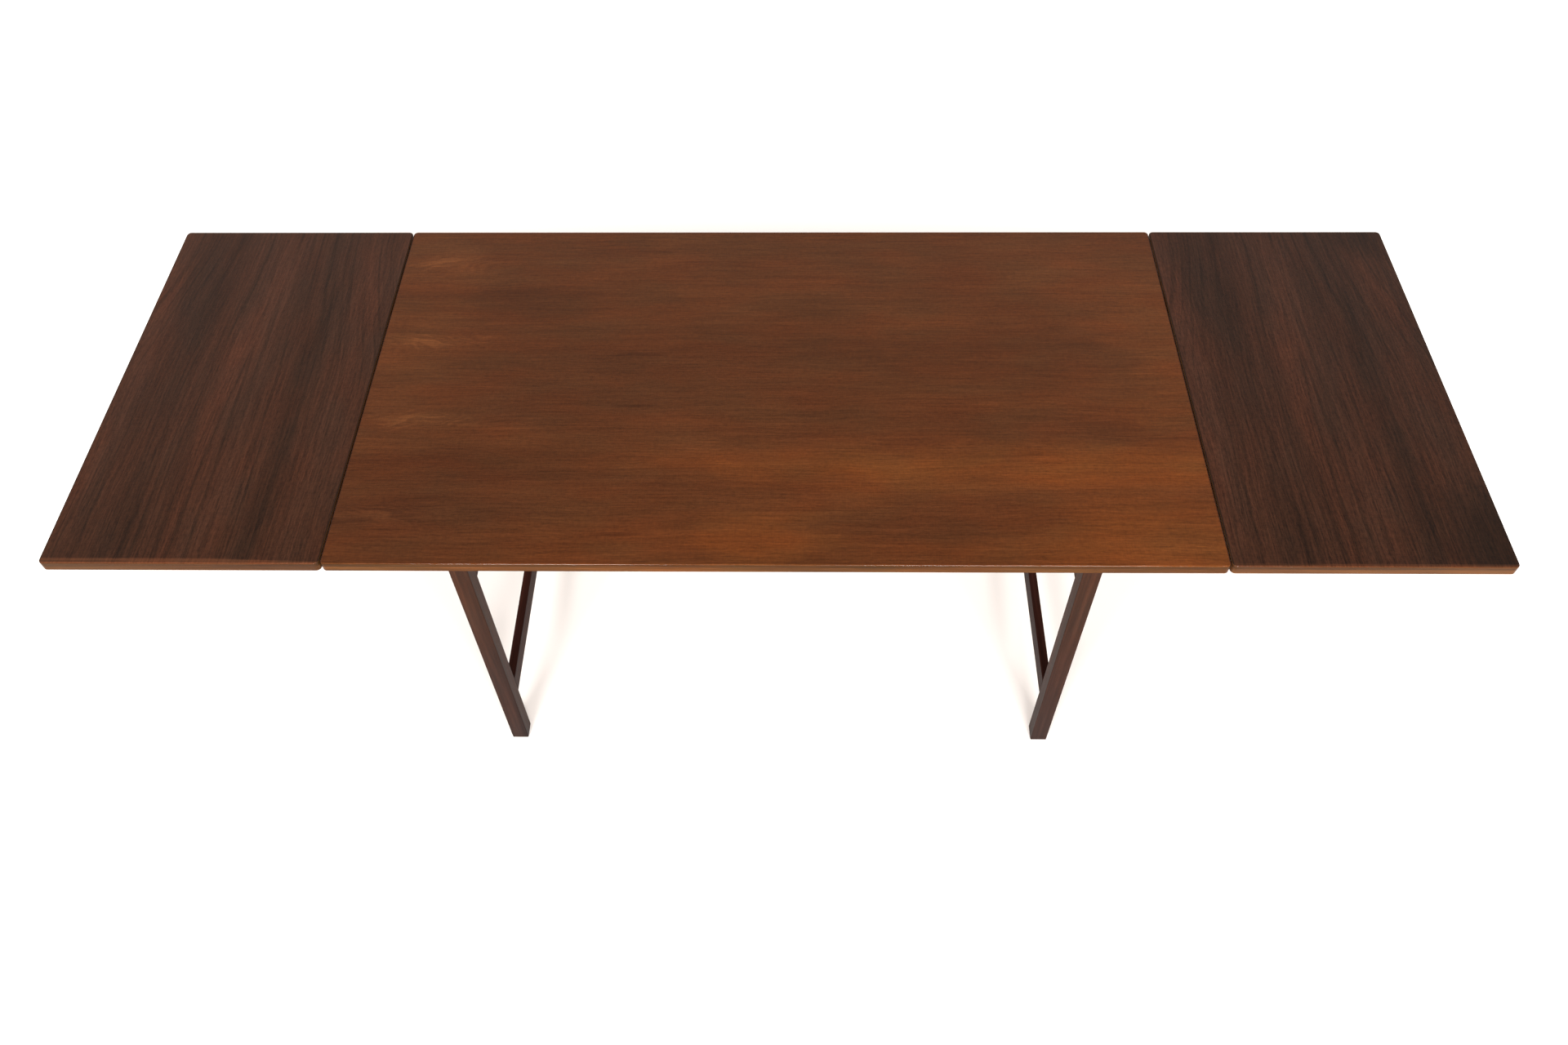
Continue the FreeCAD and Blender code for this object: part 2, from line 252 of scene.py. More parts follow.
ray_layer = (0.014, 0.0026, 1.0, 1.3)
fleck_layer = (0.010, 0.0034, 2.0, 2.2)
wear_layer = (0.20, 0.20, 2.0, 9.0)

veneer_specular = 0.175
veneer_roughness = 0.40
veneer_shine = (0.10, 0.08)
veneer_depth = 0.00005
veneer_pore_shade = -0.10
veneer_hues = ((0.25, (0.98, 1.05, 1.15)), (0.50, (1.0, 1.0, 1.0)), (0.80, (1.06, 0.94, 0.66)))

arris_roughness = 0.15
arris_width = 0.0026
# Painted highlight: a paler tone along the long arrises
arris_painted_highlight_tone = 0.30
# Distances from the edge between which the relief starts, because a polished arris has none
calm_edge = (0.0028, 0.0045)
# Painted shade along the joints between boards: width and tone of the darkening
joint_width = 0.0026
joint_painted_shade_tone = -0.9
# Broken dark line beside the long edges: where it starts, is darkest and ends
rub_line = (0.0030, 0.0042, 0.0060)
rub_steps = (0.50, 0.62)
rub_tone = -0.30


def edge_distances(tree, low, high):
    """Distances in from the nearest end of a board, and from its nearest long edge."""
    place = object_place(tree)
    parts = []
    for name, start, end in (("X", low.x, high.x), ("Y", low.y, high.y)):
        offset = calc(tree, "ABSOLUTE", calc(tree, "SUBTRACT", place[name], (start + end) / 2))
        parts.append(calc(tree, "SUBTRACT", (end - start) / 2, offset))
    return parts


def add_edges(tree, tone, joint, arris, from_edge, wear):
    """Tone with painted shade at the joints, a painted highlight of paler tone on the arrises, and a line
    of dirt that is rubbed away in places.
    """
    # Painted highlight: paler tone on the arrises
    tone = calc(tree, "MULTIPLY_ADD", calc(tree, "MAXIMUM", arris, 0.0), arris_painted_highlight_tone, tone)
    # Painted shade at the joints between boards
    tone = calc(tree, "MULTIPLY_ADD", joint, joint_painted_shade_tone, tone)
    start, middle, end = rub_line
    line = calc(tree, "MULTIPLY", step_between(tree, from_edge, start, middle),
                step_between(tree, from_edge, end, middle))
    left = step_between(tree, wear, *rub_steps)
    return calc(tree, "MULTIPLY_ADD", calc(tree, "MULTIPLY", line, left), rub_tone, tone)


def finish_veneer(material, tone, warmth, brightness_with_painted_light, axes, seed, colours, fine_strengths, low, high):
    """Adds fine grain and edges, with painted highlights and joint shade, to a veneer's tone and painted
    light, and joins its shader.
    """
    tree = material.node_tree
    grain, fibre, pores = fine_layers(tree, axes, seed)
    rays = streaks(tree, [axes[1], axes[0], axes[2]], ray_layer, seed)
    flecks = streaks(tree, axes, fleck_layer, seed)
    # The brightness carries painted light, and the fine grain is added to it
    brightness_with_painted_light = scaled_sum(tree, brightness_with_painted_light, *zip((grain, fibre, rays, flecks), fine_strengths))
    brightness_with_painted_light = calc(tree, "MULTIPLY_ADD", pores, veneer_pore_shade, brightness_with_painted_light)

    from_end, from_edge = edge_distances(tree, low, high)
    joint = step_between(tree, from_end, joint_width, 0.0)
    arris = calc(tree, "SUBTRACT", step_between(tree, from_edge, arris_width, 0.0), joint)
    tone = add_edges(tree, tone, joint, arris, from_edge, streaks(tree, axes, wear_layer, seed))

    colour = tinted(tree, tone_ramp(tree, tone, *colours), axes, seed)
    colour = product(tree, colour, ramp(tree, warmth, veneer_hues))
    colour = add(tree, "ShaderNodeVectorMath", {0: colour, "Scale": brightness_with_painted_light}, operation="SCALE").outputs[0]
    shine = scaled_sum(tree, veneer_roughness, *zip((grain, fibre), veneer_shine))
    shine = calc(tree, "MULTIPLY_ADD", arris, arris_roughness - veneer_roughness, shine)
    polished = step_between(tree, from_edge, calm_edge[1], calm_edge[0])
    relief = outside(tree, wood_relief(tree, grain, fibre, pores), polished)
    return finish_wood(material, colour, shine, relief, veneer_depth, veneer_specular)


# Main top

main_sway_layer = (0.45, 0.12, 1.0, 4.0)
main_ripple_layer = (0.13, 0.045, 2.0, 9.0)
cloud_layer = (0.15, 0.075, 3.0, 1.0)
main_band_layer = (0.60, 0.026, 2.0, 14.0)
flitch_layer = (0.30, 0.012, 2.0, 21.0)
swirl_layer = (0.070, 0.032, 1.0, 31.0)
strand_layer = (0.16, 0.011, 1.0, 33.0)

# How far sway and ripple push the grain sideways: in the figure that the leaves share,
# in the soft clouds, and in the fine grain
flitch_bend = (0.030, 0.012)
cloud_bend = (0.06, 0.05)
cloud_drift = 0.22
grain_bend = (0.022, 0.007)

main_strengths = (0.28, 0.145, 0.18)
main_seed = 2.0
main_colours = ((0.0775, 0.0226, 0.0064), (1.45, 1.62, 1.70))
main_fine = (0.58, 0.72, 0.26, 0.63)
# Painted light: the main top grows brighter and cooler in hue towards the back
main_painted_light_fade = 0.17
main_painted_cooling = -0.28
veneer_leaf_width = 0.2225

# Soft patches of the main top, partly the wood's own tone and partly painted light brighter at the front
# right: place along and across, half sizes, strength
main_tone_and_light_patches = (
    ((0.78, -0.44), (0.50, 0.17), 0.24),
    ((0.50, -0.225), (0.95, 0.085), 0.16),
    ((0.05, -0.205), (0.44, 0.065), 0.09),
    ((-0.03, -0.39), (0.17, 0.10), 0.15),
    ((0.45, 0.07), (0.50, 0.12), -0.08),
    ((0.50, -0.125), (0.50, 0.05), -0.08),
    ((-0.05, 0.02), (0.60, 0.22), -0.06),
    ((0.28, -0.35), (0.28, 0.055), -0.08),
    ((-0.45, -0.28), (0.55, 0.10), -0.07),
    ((-0.66, -0.40), (0.28, 0.08), -0.08),
    ((0.80, 0.05), (0.20, 0.42), 0.12),
    ((-0.76, 0.22), (0.25, 0.35), 0.10),
    ((-0.66, -0.33), (0.28, 0.07), -0.15),
    ((-0.73, -0.335), (0.13, 0.035), -0.14),
    ((-0.45, -0.05), (0.28, 0.09), -0.08),
    ((0.05, -0.20), (0.14, 0.06), -0.05),
    ((0.65, -0.22), (0.24, 0.12), 0.09),
    ((0.62, -0.33), (0.22, 0.06), 0.08),
    ((-0.35, 0.06), (0.60, 0.24), -0.05),
    ((0.62, 0.32), (0.22, 0.22), 0.09),
)

# Each veneer leaf repeats these: place along, place across the leaf, half sizes, strength
flitch_patches = (
    ((-0.62, 0.205), (0.40, 0.040), -0.13),
    ((-0.275, 0.066), (0.070, 0.0060), -0.20),
    ((-0.71, 0.108), (0.095, 0.022), 0.06),
    ((-0.745, 0.103), (0.024, 0.007), 0.05),
    ((-0.668, 0.098), (0.030, 0.007), 0.05),
)

# Light strands that curl round the foot of a branch, in one zone of each veneer leaf
strand_zone = (((-0.69, 0.110), (0.15, 0.038), 1.0),)
strand_tilt = 0.30
strand_curl = 0.060
strand_steps = (0.42, 0.66)
strand_tone = 0.22


def add_strands(tree, tone, axes, bent):
    """Tone with the light strands added in their zone."""
    along = axes[0]
    swirl = streaks(tree, axes, swirl_layer)
    tilt = calc(tree, "MULTIPLY_ADD", along, strand_tilt, bent[1])
    curled = (along, scaled_sum(tree, tilt, (swirl, strand_curl)), 0.0)
    strands = step_between(tree, streaks(tree, curled, strand_layer), *strand_steps)
    zone = add_patches(tree, 0.0, bent, strand_zone)
    return calc(tree, "MULTIPLY_ADD", calc(tree, "MULTIPLY", strands, zone), strand_tone, tone)


def main_veneer():
    """Lengthwise veneer in four book-matched leaves that share a curled figure at the left end."""
    material = new_material("main_veneer")
    tree = material.node_tree
    axes = grain_axes(tree, "X")
    along, across, through = axes
    bends = (streaks(tree, axes, main_sway_layer), streaks(tree, axes, main_ripple_layer))
    inside = calc(tree, "PINGPONG", calc(tree, "ADD", across, main_high.y), veneer_leaf_width)
    bent = (along, scaled_sum(tree, inside, *zip(bends, flitch_bend)), through)
    loose = (scaled_sum(tree, along, (bends[1], cloud_drift)),
             scaled_sum(tree, across, *zip(bends, cloud_bend)), through)
    own = (along, scaled_sum(tree, across, *zip(bends, grain_bend)), through)

    layers = (streaks(tree, loose, cloud_layer), streaks(tree, own, main_band_layer),
              streaks(tree, bent, flitch_layer))
    # Patches that are partly the wood's tone and partly painted light, brightest at the front right
    patches = add_patches(tree, 0.0, loose, main_tone_and_light_patches)
    tone = calc(tree, "ADD", scaled_sum(tree, 0.5, *zip(layers, main_strengths)), patches)
    tone = add_patches(tree, tone, bent, flitch_patches)
    tone = add_strands(tree, tone, axes, bent)
    # Painted light: brighter towards the back, and cooler in hue through the warmth below
    brightness_with_painted_light = calc(tree, "MULTIPLY_ADD", across, main_painted_light_fade, 1.0)
    warmth = calc(tree, "ADD", calc(tree, "MULTIPLY_ADD", across, main_painted_cooling, 0.5), patches)
    return finish_veneer(material, tone, warmth, brightness_with_painted_light, own, main_seed, main_colours, main_fine,
                         main_low, main_high)


# Leaves

leaf_sway_layer = (0.40, 0.10, 1.0, 5.0)
leaf_ripple_layer = (0.12, 0.024, 2.0, 6.0)
ring_layer = (0.60, 0.0058, 2.0, 8.0)
line_layer = (0.42, 0.0080, 1.0, 18.0)
leaf_band_layer = (0.30, 0.055, 3.0, 17.0)

leaf_bend = (0.016, 0.006)
leaf_cloud_bend = 0.02
leaf_cloud_drift = 0.25
leaf_strengths = (0.36, 0.34)
line_steps = (0.52, 0.70)
line_tone = -0.17
leaf_seed = 12.0
leaf_colours = ((0.0460, 0.0163, 0.0080), (1.75, 1.50, 1.60))
leaf_fine = (0.81, 1.00, 0.30, 0.86)
# Painted light: each leaf's hue cools towards the back
leaf_painted_cooling = -0.20
# Painted light on each leaf: brightness at its middle, and how fast it grows towards the back
left_painted_light = (0.97, 0.46)
right_painted_light = (0.79, 0.32)

# Strip along the front edge: width, gain of brightness, how fast it narrows towards the right
left_strip = (0.0105, 0.85, 0.035)
right_strip = (0.0058, 0.55, 0.0)
strip_softness = 0.2
strip_evenness = 0.75
strip_taper_start = 0.30
strip_warmth = 0.06

# Figure of a leaf, from its left edge: place across, place along, half sizes, strength
leaf_patches = (
    ((0.100, 0.32), (0.080, 0.34), -0.17),
    ((0.118, -0.05), (0.034, 0.50), -0.09),
    ((0.128, -0.38), (0.045, 0.20), -0.13),
    ((0.345, 0.24), (0.090, 0.26), -0.13),
    ((0.362, -0.02), (0.036, 0.32), -0.13),
    ((0.365, -0.34), (0.052, 0.24), -0.16),
    ((0.015, 0.00), (0.045, 0.70), 0.13),
    ((0.235, 0.12), (0.070, 0.36), 0.09),
    ((0.440, -0.05), (0.055, 0.50), 0.04),
    ((0.280, -0.32), (0.050, 0.22), 0.07),
)
left_patches = (((0.02, -0.40), (0.20, 0.16), -0.05),)
right_patches = (
    ((0.490, -0.40), (0.140, 0.22), -0.40),
    ((0.450, 0.43), (0.100, 0.10), -0.22),
    ((0.060, -0.10), (0.090, 0.40), 0.05),
)

# Arches: the growth rings are rounded about a line that slopes away under the middle of the leaf
arch_middle = 0.2415
arch_start = 0.095
arch_setback = 0.030
arch_taper = 0.010
arch_closing = (0.12, -0.36)
arch_closing_gain = 0.40
side_seed = 0.02
# Dark outline of the outermost arch: half width against distance ahead of its tip
spike_half_width = 0.0255
spike_power = 0.6
spike_edge = (0.0045, 0.0005)
spike_start = (-0.020, 0.040)
spike_tone = -0.22


def arches(tree, along, bent):
    """Ring coordinates of the arched figure, and a mask of its dark outline."""
    ahead = calc(tree, "SUBTRACT", arch_start, along)
    closing = step_between(tree, ahead, *arch_closing)
    side = calc(tree, "MULTIPLY", calc(tree, "SUBTRACT", bent, arch_middle),
                calc(tree, "MULTIPLY_ADD", closing, arch_closing_gain, 1.0))
    depth = calc(tree, "MULTIPLY_ADD", ahead, -arch_taper, arch_setback)
    half_width = calc(tree, "MULTIPLY", calc(tree, "POWER", calc(tree, "MAXIMUM", ahead, 0.0), spike_power),
                      spike_half_width)
    off = calc(tree, "ABSOLUTE", calc(tree, "SUBTRACT", calc(tree, "ABSOLUTE", side), half_width))
    spike = calc(tree, "MULTIPLY", step_between(tree, off, *spike_edge),
                 step_between(tree, ahead, *spike_start))
    which_side = calc(tree, "MULTIPLY", calc(tree, "SIGN", side), side_seed)
    return (along, distance(tree, side, depth), which_side), spike


def pale_strip(tree, along, place, front, width, taper):
    """Mask of the strip where solid wood shows through along the front edge."""
    beyond = calc(tree, "MAXIMUM", calc(tree, "SUBTRACT", place, strip_taper_start), 0.0)
    from_front = calc(tree, "MULTIPLY_ADD", beyond, taper, calc(tree, "SUBTRACT", along, front))
    return step_between(tree, from_front, width * (1 + strip_softness), width * (1 - strip_softness))


def leaf_veneer(name, low, high, patches, brightness_with_painted_light, strip):
    """Crosswise veneer whose growth rings meet in tall pointed arches down its middle."""
    material = new_material(name)
    tree = material.node_tree
    along, across, through = grain_axes(tree, "Y")
    place = calc(tree, "SUBTRACT", across, low.x)
    shift = (along, place, through)
    bends = (streaks(tree, shift, leaf_sway_layer), streaks(tree, shift, leaf_ripple_layer))
    bent = scaled_sum(tree, place, *zip(bends, leaf_bend))
    loose = (scaled_sum(tree, bent, (bends[1], leaf_cloud_bend)),
             scaled_sum(tree, along, (bends[1], leaf_cloud_drift)))

    ring_axes, spike = arches(tree, along, bent)
    layers = (streaks(tree, ring_axes, ring_layer),
              streaks(tree, (loose[1], loose[0], through), leaf_band_layer))
    tone = scaled_sum(tree, 0.5, *zip(layers, leaf_strengths))
    tone = calc(tree, "MULTIPLY_ADD", spike, spike_tone, tone)
    lines = step_between(tree, streaks(tree, ring_axes, line_layer), *line_steps)
    tone = calc(tree, "MULTIPLY_ADD", lines, line_tone, tone)
    tone = add_patches(tree, tone, loose, leaf_patches + patches)
    # Painted light: brightness that grows towards the back; the pale strip's real gain is added below
    middle_painted_light, painted_light_slope = brightness_with_painted_light
    painted_light_and_pale_strip = calc(tree, "MULTIPLY_ADD", along, painted_light_slope, middle_painted_light)
    warmth = calc(tree, "MULTIPLY_ADD", along, leaf_painted_cooling, 0.5)

    width, gain, taper = strip
    pale = pale_strip(tree, along, place, low.y, width, taper)
    evened = calc(tree, "MULTIPLY", pale, strip_evenness)
    tone = calc(tree, "MULTIPLY_ADD", calc(tree, "SUBTRACT", 0.5, tone), evened, tone)
    painted_light_and_pale_strip = calc(tree, "MULTIPLY_ADD", pale, gain, painted_light_and_pale_strip)
    warmth = calc(tree, "MULTIPLY_ADD", pale, strip_warmth, warmth)
    return finish_veneer(material, tone, warmth, painted_light_and_pale_strip, (along, bent, through), leaf_seed,
                         leaf_colours, leaf_fine, low, high)


# Finish of each node

# Hues by height: legs are greyer towards the foot and warmer towards the top
leg_hues = ((0.0, (0.88, 1.04, 1.28)), (0.36, (0.93, 0.98, 1.08)), (0.78, (1.08, 1.05, 0.92)))

# Solid woods: colour at middle tone, how it changes with tone, shine and depth of relief
main_lipping_wood = dict(middle=(0.086, 0.0295, 0.0066), spread_by=(1.8, 1.7, 1.4),
                         roughness=0.26, specular=0.07, depth=0.00004, top_tone=-0.26)
left_lipping_wood = dict(middle=(0.072, 0.0272, 0.0085), spread_by=(1.8, 1.7, 1.4),
                         roughness=0.30, specular=0.08, depth=0.00004, top_tone=-0.18)
right_lipping_wood = dict(middle=(0.092, 0.0362, 0.0120), spread_by=(1.8, 1.7, 1.4),
                          roughness=0.30, specular=0.08, depth=0.00004, top_tone=-0.16)
rail_wood = dict(middle=(0.0350, 0.0146, 0.0096), spread_by=(1.7, 1.5, 1.3),
                 roughness=0.46, specular=0.04, depth=0.00008)
leg_wood = dict(rail_wood, hues=leg_hues)
# Painted shade: the stretchers are darker than the legs, for the table's shade over them
stretcher_painted_shade_wood = dict(middle=(0.024, 0.0078, 0.0056), spread_by=(1.6, 1.5, 1.3),
                      roughness=0.46, specular=0.03, depth=0.00008)
guide_wood = dict(middle=(0.32, 0.19, 0.10), spread_by=(0.8, 0.9, 1.1),
                  roughness=0.55, specular=0.30, depth=0.00012)
core_wood = dict(middle=(0.42, 0.28, 0.16), spread_by=(0.6, 0.7, 0.9),
                 roughness=0.60, specular=0.30, depth=0.00012)
backing_wood = dict(middle=(0.18, 0.085, 0.038), spread_by=(0.9, 1.0, 1.1),
                    roughness=0.55, specular=0.25, depth=0.00008)
wood_seed_step = 1.7


def grain_direction(name):
    """Axis that a node's grain follows: the board's for veneers, the longest side for solid wood."""
    if name.startswith("main_top") and "lipping" not in name:
        return "X"
    if "core" in name or "veneer" in name:
        return "Y"
    low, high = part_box(name)
    size = high - low
    return "XYZ"[max(range(3), key=lambda axis: size[axis])]


def wood_of(name):
    """Solid wood that a node is made of."""
    if "lipping" in name:
        board = name.split("_")[0]
        return {"main": main_lipping_wood, "left": left_lipping_wood, "right": right_lipping_wood}[board]
    if "core" in name:
        return core_wood
    if "backing" in name:
        return backing_wood
    if name.startswith("stretcher"):
        return stretcher_painted_shade_wood
    if name.startswith("leg"):
        return leg_wood
    if name.startswith(("end_rail", "long_rail")):
        return rail_wood
    return guide_wood


def finish_nodes():
    """Gives every node its own wood, so that no two pieces show the same grain."""
    faces = {
        "main_top_face_veneer": main_veneer(),
        "left_leaf_face_veneer": leaf_veneer("left_leaf_veneer", left_low, left_high,
                                             left_patches, left_painted_light, left_strip),
        "right_leaf_face_veneer": leaf_veneer("right_leaf_veneer", right_low, right_high,
                                              right_patches, right_painted_light, right_strip),
    }
    for number, name in enumerate(sorted(nodes)):
        material = faces.get(name)
        if material is None:
            material = plain_wood(name + "_wood", grain_direction(name), wood_seed_step * number,
                                  **wood_of(name))
        for slot in nodes[name].material_slots:
            slot.material = material


# Screw heads

head_radius = 0.0038
head_rise = 0.0009
head_rim = 0.0002
head_seat = 0.0001
slot_half = 0.00045
slot_floor = 0.0003
arc_steps = 12
dome_steps = 4
weld_distance = 0.00002

# Steel: scale and detail of its dull patches and of its turning marks, then colours and roughness
steel_patches = (260.0, 3.0)
steel_turning = (2400.0, 2.0)
steel_colours = ((0.3, (0.30, 0.26, 0.20)), (0.5, (0.52, 0.47, 0.38)), (0.75, (0.66, 0.62, 0.54)))
steel_roughness = 0.38
steel_dulling = 0.5
steel_depth = 0.00004

# How many screws hold each kind of piece, and how far in they sit
arm_screws = 3
arm_screw_margin = 0.075
arm_end_margin = 0.025
arm_bevel = 0.045
track_screws = 4
track_screw_margin = 0.045
track_wall = 0.014
batten_screws = 5
batten_screw_margin = 0.055
button_screw_setback = 0.019
side_button_along = 0.290
corner_screw_heights = (0.012, 0.038)


def half_head(mesh, place, side):
    """One half of a domed screw head, beside its slot, with its seat at the origin of place."""
    start = math.asin(slot_half / head_radius)
    angles = [start + (math.pi - 2 * start) * step / arc_steps for step in range(arc_steps + 1)]

    def vertex(x, y, z):
        return mesh.verts.new(place @ Vector((side * x, side * y, z)))

    def strip(first, second):
        for a, b, c, d in zip(first, first[1:], second[1:], second):
            mesh.faces.new((a, b, c, d))

    rows = []
    for ring in range(dome_steps + 1):
        row = []
        for angle in angles:
            x = head_radius * math.cos(angle)
            y = slot_half + (head_radius * math.sin(angle) - slot_half) * ring / dome_steps
            fall = min(1.0, (x * x + y * y) / head_radius ** 2)
            row.append(vertex(x, y, head_rim + head_rise * (1.0 - fall)))
        rows.append(row)
    seat_row = [vertex(head_radius * math.cos(angle), head_radius * math.sin(angle), -head_seat)
                for angle in angles]
    slot_row = [vertex(head_radius * math.cos(angle), slot_half, slot_floor) for angle in angles]
    middle_row = [vertex(head_radius * math.cos(angle), 0.0, slot_floor) for angle in angles]
    for first, second in zip([middle_row, slot_row] + rows, [slot_row] + rows + [seat_row]):
        strip(first, second)
    base_row = [vertex(head_radius * math.cos(angle), 0.0, -head_seat) for angle in angles]
    strip(seat_row, base_row)
    for end in (0, -1):
        mesh.faces.new((middle_row[end], slot_row[end], seat_row[end], base_row[end]))


def screw_heads(name, body, places, material):
    """One piece of slotted screw heads, each given by its middle and the direction that it faces."""
    turns = random.Random(name)
    mesh = bmesh.new()
    for middle, facing in places:
        turn = Matrix.Rotation(turns.uniform(0, math.pi), 4, "Z")
        face = Vector(facing).to_track_quat("Z", "Y").to_matrix().to_4x4()
        for side in (1, -1):
            half_head(mesh, Matrix.Translation(middle) @ face @ turn, side)
    bmesh.ops.remove_doubles(mesh, verts=mesh.verts, dist=weld_distance)
    bmesh.ops.recalc_face_normals(mesh, faces=mesh.faces)
    data = bpy.data.meshes.new(name)
    mesh.to_mesh(data)
    mesh.free()
    data.materials.append(material)
    piece = bpy.data.objects.new(name, data)
    bpy.context.scene.collection.objects.link(piece)
    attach(piece, body)


def screw_steel():
    """Turned steel, dulled in patches."""
    material = new_material("screw_steel")
    tree = material.node_tree
    place = add(tree, "ShaderNodeTexCoord").outputs["Object"]
    dull, fine = [add(tree, "ShaderNodeTexNoise", {"Vector": place, "Scale": scale, "Detail": detail})
                  .outputs["Fac"] for scale, detail in (steel_patches, steel_turning)]
    colour = ramp(tree, dull, steel_colours)
    bump = add(tree, "ShaderNodeBump", {"Height": fine, "Distance": steel_depth, "Strength": 1.0})
    inputs = {"Base Color": colour, "Roughness": scaled_sum(tree, steel_roughness, (dull, steel_dulling)),
              "Metallic": 1.0, "Normal": bump.outputs[0]}
    shader = add(tree, "ShaderNodeBsdfPrincipled", inputs)
    add(tree, "ShaderNodeOutputMaterial", {"Surface": shader.outputs[0]})
    return material


def spread(low, high, count):
    """Evenly spaced values from low to high."""
    return [low + (high - low) * step / (count - 1) for step in range(count)]


def facing_down(x, y, low):
    """Place of a screw in the underside of a piece."""
    return (x, y, low.z), (0, 0, -1)


def arm_places(side):
    """Screws that go up through the arms into a leaf, clear of the bevelled ends."""
    places = []
    core_low, core_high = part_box(side + "_leaf_core")
    sign = -1 if side == "left" else 1
    inner = min(abs(core_low.x), abs(core_high.x))
    for row in ("front", "back"):
        low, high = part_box(side + "_leaf_arm_" + row)
        outer = max(abs(low.x), abs(high.x)) - arm_bevel
        for x in spread(inner + arm_screw_margin, outer - arm_end_margin, arm_screws):
            places.append(facing_down(sign * x, (low.y + high.y) / 2, low))
    return places


def track_places():
    """Screws along the outer wall of each track, the wall that is away from its arm."""
    places = []
    for name in sorted(nodes):
        if name.startswith("track_"):
            low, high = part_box(name)
            arm_low, arm_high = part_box("left_leaf_arm_front" if low.y < 0 else "left_leaf_arm_back")
            outward = 1 if low.y + high.y > arm_low.y + arm_high.y else -1
            y = (high.y if outward > 0 else low.y) - outward * track_wall / 2
            for x in spread(low.x + track_screw_margin, high.x - track_screw_margin, track_screws):
                places.append(facing_down(x, y, low))
    return places


def batten_places():
    """Screws along the middle of the centre batten."""
    low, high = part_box("centre_batten")
    return [facing_down(0, y, low)
            for y in spread(low.y + batten_screw_margin, high.y - batten_screw_margin, batten_screws)]


def button_places():
    """Screws of the buttons, on the side of each that is away from its rail."""
    low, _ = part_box("top_buttons")
    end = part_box("end_rail_right")[0].x - button_screw_setback
    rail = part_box("long_rail_back")[0].y - button_screw_setback
    places = [facing_down(sign * end, 0, low) for sign in (-1, 1)]
    for x_sign in (-1, 1):
        for y_sign in (-1, 1):
            places.append(facing_down(x_sign * side_button_along, y_sign * rail, low))
    return places


def corner_places():
    """Screws square to the long face of each corner block, two to a block."""
    places = []
    for x_sign in (-1, 1):
        for y_sign in (-1, 1):
            row = "front" if y_sign < 0 else "back"
            end = "left" if x_sign < 0 else "right"
            low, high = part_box("corner_block_%s_%s" % (row, end))
            for height in corner_screw_heights:
                middle = ((low.x + high.x) / 2, (low.y + high.y) / 2, low.z + height)
                places.append((middle, (-x_sign, -y_sign, 0)))
    return places


def make_screws():
    steel = screw_steel()
    for side in ("left", "right"):
        screw_heads(side + "_arm_screws", side + "_leaf", arm_places(side), steel)
    screw_heads("track_screws", "table", track_places(), steel)
    screw_heads("batten_screws", "table", batten_places(), steel)
    screw_heads("button_screws", "table", button_places(), steel)
    screw_heads("corner_block_screws", "table", corner_places(), steel)


# Surroundings

floor_size = 40
floor_roughness = 0.8
floor_mottle_scale = 0.6
floor_mottle_detail = 2.0
floor_colours = ((0.3, (0.83, 0.775, 0.73)), (0.7, (0.86, 0.81, 0.765)))
# The glow starts on an oval round the table: its middle, half sizes, and where it grows in them
glow_middle_y = -0.9
glow_half_sizes = (1.9, 1.7)
glow_steps = (0.75, 1.5)
glow_gain = 0.9
glow_least = 0.05

# Brightness of the walls and the ceiling, by height of the direction that they are seen in
wall_stops = ((0.0, 0.86), (0.22, 0.62), (0.62, 0.84), (0.76, 0.12), (1.0, 0.08))

# Lamps: name, place, the point that it faces, width and height, power in watts
lamps = (
    ("right_soft_box", (1.10, -3.6, 3.6), (0.2, 0, 0.5), (1.4, 0.8), 215),
    ("left_soft_box", (-1.30, -3.6, 3.6), (-0.2, 0, 0.5), (1.1, 0.8), 180),
    ("long_strip", (0.5, -3.6, 3.7), (0.5, 0, 0.7), (4.2, 0.16), 60),
)


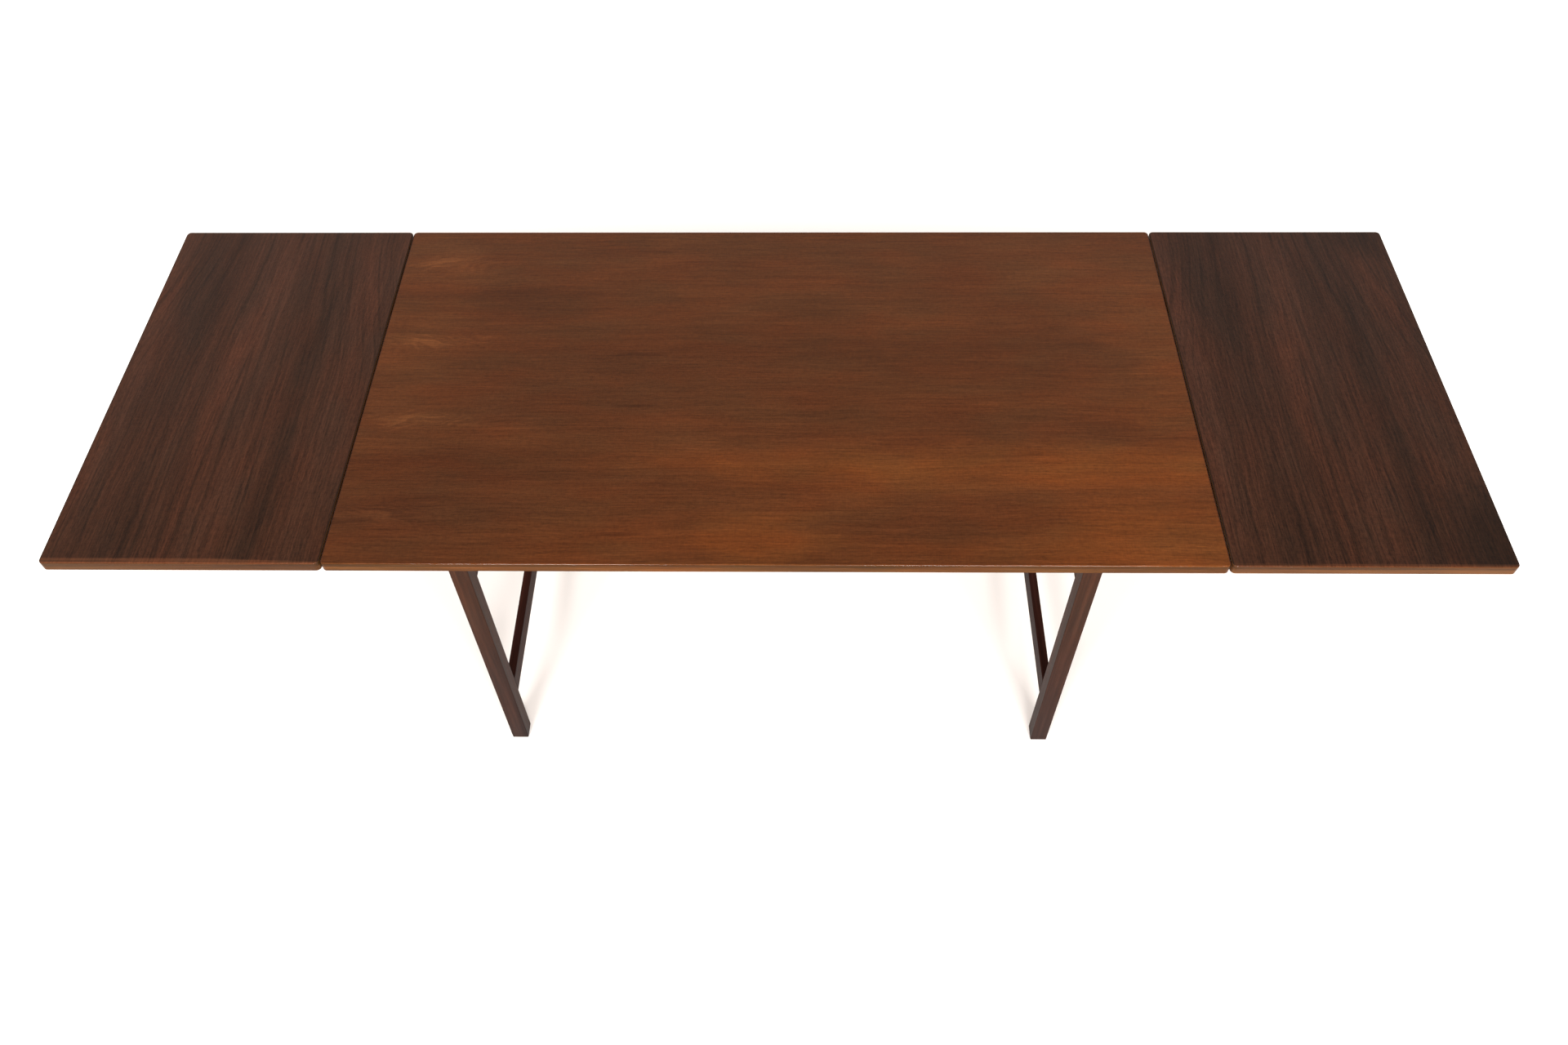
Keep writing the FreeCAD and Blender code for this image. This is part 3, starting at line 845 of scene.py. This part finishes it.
def make_floor():
    """White floor that glows as painted light in place of a backdrop's lights: faintly near the table,
    brightly beyond it.
    """
    bpy.ops.mesh.primitive_plane_add(size=floor_size)
    floor = bpy.context.object
    floor.name = "floor"
    material = new_material("floor_white")
    tree = material.node_tree
    place = object_place(tree)
    half_width, half_depth = glow_half_sizes
    across = calc(tree, "MULTIPLY", place["X"], 1 / half_width)
    back = calc(tree, "MULTIPLY_ADD", place["Y"], 1 / half_depth, -glow_middle_y / half_depth)
    beyond = step_between(tree, distance(tree, across, back), *glow_steps)
    glow = calc(tree, "MULTIPLY_ADD", beyond, glow_gain, glow_least)
    mottle = add(tree, "ShaderNodeTexNoise", {"Scale": floor_mottle_scale, "Detail": floor_mottle_detail})
    colour = ramp(tree, mottle.outputs["Fac"], floor_colours)
    shader = add(tree, "ShaderNodeBsdfPrincipled", {"Base Color": colour, "Roughness": floor_roughness,
                                                    "Emission Color": colour, "Emission Strength": glow})
    add(tree, "ShaderNodeOutputMaterial", {"Surface": shader.outputs[0]})
    floor.data.materials.append(material)


def area_light(name, place, target, size, power):
    data = bpy.data.lights.new(name, "AREA")
    data.shape = "RECTANGLE"
    data.size, data.size_y = size
    data.energy = power
    light = bpy.data.objects.new(name, data)
    light.location = place
    light.rotation_euler = (Vector(target) - Vector(place)).to_track_quat("-Z", "Y").to_euler()
    bpy.context.scene.collection.objects.link(light)


def make_studio():
    """Pale walls under a dim ceiling, two soft boxes in front and a long strip between them."""
    world = bpy.data.worlds.new("studio")
    world.use_nodes = True
    tree = world.node_tree
    tree.nodes.clear()
    direction = add(tree, "ShaderNodeTexCoord").outputs["Generated"]
    height = add(tree, "ShaderNodeSeparateXYZ", {0: direction}).outputs["Z"]
    colour = ramp(tree, height, [(position, (level, level, level)) for position, level in wall_stops])
    back = add(tree, "ShaderNodeBackground", {"Color": colour, "Strength": 1.0})
    add(tree, "ShaderNodeOutputWorld", {"Surface": back.outputs[0]})
    bpy.context.scene.world = world
    for lamp in lamps:
        area_light(*lamp)


def make_camera():
    data = bpy.data.cameras.new("camera")
    data.sensor_fit = "HORIZONTAL"
    data.lens = focal_pixels * data.sensor_width / photo_width_pixels
    camera = bpy.data.objects.new("camera", data)
    turn = (Matrix.Rotation(-camera_yaw, 4, "Z") @ Matrix.Rotation(math.pi / 2 - camera_pitch, 4, "X")
            @ Matrix.Rotation(-camera_roll, 4, "Z"))
    camera.matrix_world = Matrix.Translation(camera_place) @ turn
    bpy.context.scene.collection.objects.link(camera)
    bpy.context.scene.camera = camera


finish_nodes()
make_screws()
make_floor()
make_studio()
make_camera()
bpy.context.scene.view_settings.view_transform = "Standard"
